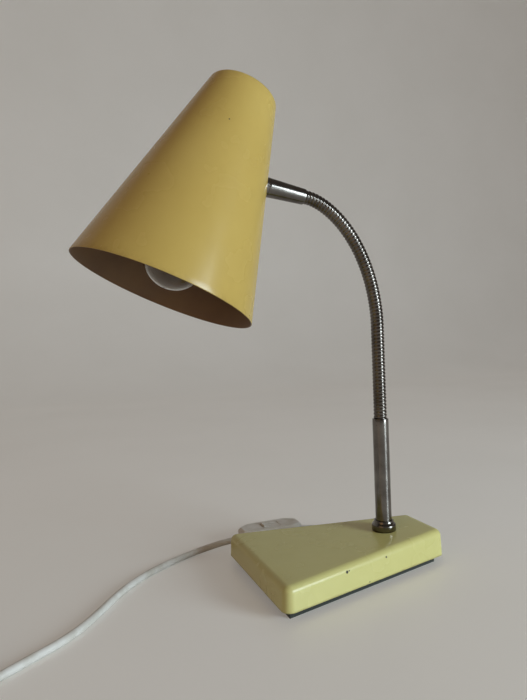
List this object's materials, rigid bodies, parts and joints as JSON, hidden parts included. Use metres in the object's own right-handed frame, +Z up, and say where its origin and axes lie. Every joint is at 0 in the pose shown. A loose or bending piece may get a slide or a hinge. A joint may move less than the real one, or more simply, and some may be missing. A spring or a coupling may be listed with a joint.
{
  "type": "gooseneck desk lamp",
  "caption": "Desk lamp with a conical lacquered metal shade on a bending ribbed neck and post, over a weighted tapered base, with a switched mains cord",
  "frame": {"origin": "on the table plane under the axis of the upright post", "axes": "+Z is up along the post; +X points to the narrow end of the base and the shade hangs towards -X; +Y is square to the lamp's plane of symmetry, away from the side that the picture shows"},
  "size_m": [0.4267, 0.2285, 0.3635],
  "materials": {
    "yellow_lacquer": "satin",
    "ballast_iron": "rough",
    "plinth_black": "matte",
    "felt": "matte",
    "zinc_steel": "satin",
    "nickel_plate": "polished",
    "white_rubber": "matte",
    "white_pvc": "satin",
    "white_moulding": "gloss",
    "wire_insulation": "matte",
    "phenolic": "satin",
    "brass": "satin",
    "lamp_glass": "clear",
    "stem_glass": "clear",
    "cap_metal": "satin"
  },
  "bodies": {
    "base": {"base_shell": "yellow_lacquer", "base_ballast": "ballast_iron", "base_plate": "plinth_black", "base_felt": "felt", "plate_screws": "zinc_steel", "cord_relief": "white_rubber", "cord_clamp": "zinc_steel", "clamp_screws": "zinc_steel", "post_tube": "nickel_plate", "post_collar": "nickel_plate", "post_nipple": "zinc_steel", "post_washer": "zinc_steel", "post_nut": "zinc_steel", "neck_01": "nickel_plate", "neck_leads": "wire_insulation", "cord_lead": "white_pvc", "cord_run": "white_pvc", "cord_coil": "white_pvc", "coil_tie": "white_moulding", "plug_relief": "white_rubber", "plug_body": "white_moulding", "plug_pins": "brass", "switch_base": "white_moulding", "switch_cover": "white_moulding", "switch_screws": "zinc_steel"},
    "link_02": {"neck_02": "nickel_plate"},
    "link_03": {"neck_03": "nickel_plate"},
    "link_04": {"neck_04": "nickel_plate"},
    "link_05": {"neck_05": "nickel_plate"},
    "link_06": {"neck_06": "nickel_plate"},
    "link_07": {"neck_07": "nickel_plate"},
    "link_08": {"neck_08": "nickel_plate"},
    "link_09": {"neck_09": "nickel_plate"},
    "link_10": {"neck_10": "nickel_plate"},
    "link_11": {"neck_11": "nickel_plate"},
    "head": {"neck_12": "nickel_plate", "head_ferrule": "nickel_plate", "head_ring": "zinc_steel", "head_nipple": "zinc_steel", "head_washer": "zinc_steel", "head_nut": "zinc_steel", "shade": "yellow_lacquer", "socket_bracket": "zinc_steel", "socket_body": "phenolic", "socket_nut": "zinc_steel", "socket_sleeve": "brass", "socket_contact": "brass", "socket_leads": "wire_insulation", "bulb_glass": "lamp_glass", "bulb_cap": "cap_metal", "bulb_tip": "cap_metal", "bulb_filament": "stem_glass"},
    "rocker": {"switch_rocker": "white_moulding"}
  },
  "joints": [
    {"name": "neck_sway_1", "type": "hinge", "parent": "base", "child": "link_02", "pos_m": [0, 0, 0.1338], "axis": [1, 0, 0], "range_deg": [-15, 15], "deforming": ["neck_leads"]},
    {"name": "neck_sway_2", "type": "hinge", "parent": "link_02", "child": "link_03", "pos_m": [0, 0, 0.1546], "axis": [1, 0, 0], "range_deg": [-15, 15], "deforming": ["neck_leads"]},
    {"name": "neck_sway_3", "type": "hinge", "parent": "link_03", "child": "link_04", "pos_m": [0, 0, 0.1754], "axis": [1, 0, 0], "range_deg": [-15, 15], "deforming": ["neck_leads"]},
    {"name": "neck_bend_1", "type": "hinge", "parent": "link_04", "child": "link_05", "pos_m": [0, 0, 0.1962], "axis": [0, -1, 0], "range_deg": [-10, 5], "deforming": ["neck_leads"]},
    {"name": "neck_bend_2", "type": "hinge", "parent": "link_05", "child": "link_06", "pos_m": [-0.00413, 0, 0.21964], "axis": [0, -1, 0], "range_deg": [-10, 5], "deforming": ["neck_leads"]},
    {"name": "neck_bend_3", "type": "hinge", "parent": "link_06", "child": "link_07", "pos_m": [-0.01132, 0, 0.23937], "axis": [0, -1, 0], "range_deg": [-10, 5], "deforming": ["neck_leads"]},
    {"name": "neck_bend_4", "type": "hinge", "parent": "link_07", "child": "link_08", "pos_m": [-0.02042, 0, 0.25513], "axis": [0, -1, 0], "range_deg": [-10, 5], "deforming": ["neck_leads"]},
    {"name": "neck_bend_5", "type": "hinge", "parent": "link_08", "child": "link_09", "pos_m": [-0.03031, 0, 0.26693], "axis": [0, -1, 0], "range_deg": [-10, 5], "deforming": ["neck_leads"]},
    {"name": "neck_bend_6", "type": "hinge", "parent": "link_09", "child": "link_10", "pos_m": [-0.03997, 0, 0.27503], "axis": [0, -1, 0], "range_deg": [-10, 5], "deforming": ["neck_leads"]},
    {"name": "neck_bend_7", "type": "hinge", "parent": "link_10", "child": "link_11", "pos_m": [-0.04845, 0, 0.27993], "axis": [0, -1, 0], "range_deg": [-10, 5], "deforming": ["neck_leads"]},
    {"name": "neck_bend_8", "type": "hinge", "parent": "link_11", "child": "head", "pos_m": [-0.05503, 0, 0.28232], "axis": [0, -1, 0], "range_deg": [-10, 5], "deforming": ["neck_leads"]},
    {"name": "switch_rock", "type": "hinge", "parent": "base", "child": "rocker", "pos_m": [-0.066, 0.078, 0.0136], "axis": [0, -1, 0], "range_deg": [0, 14]}
  ]
}
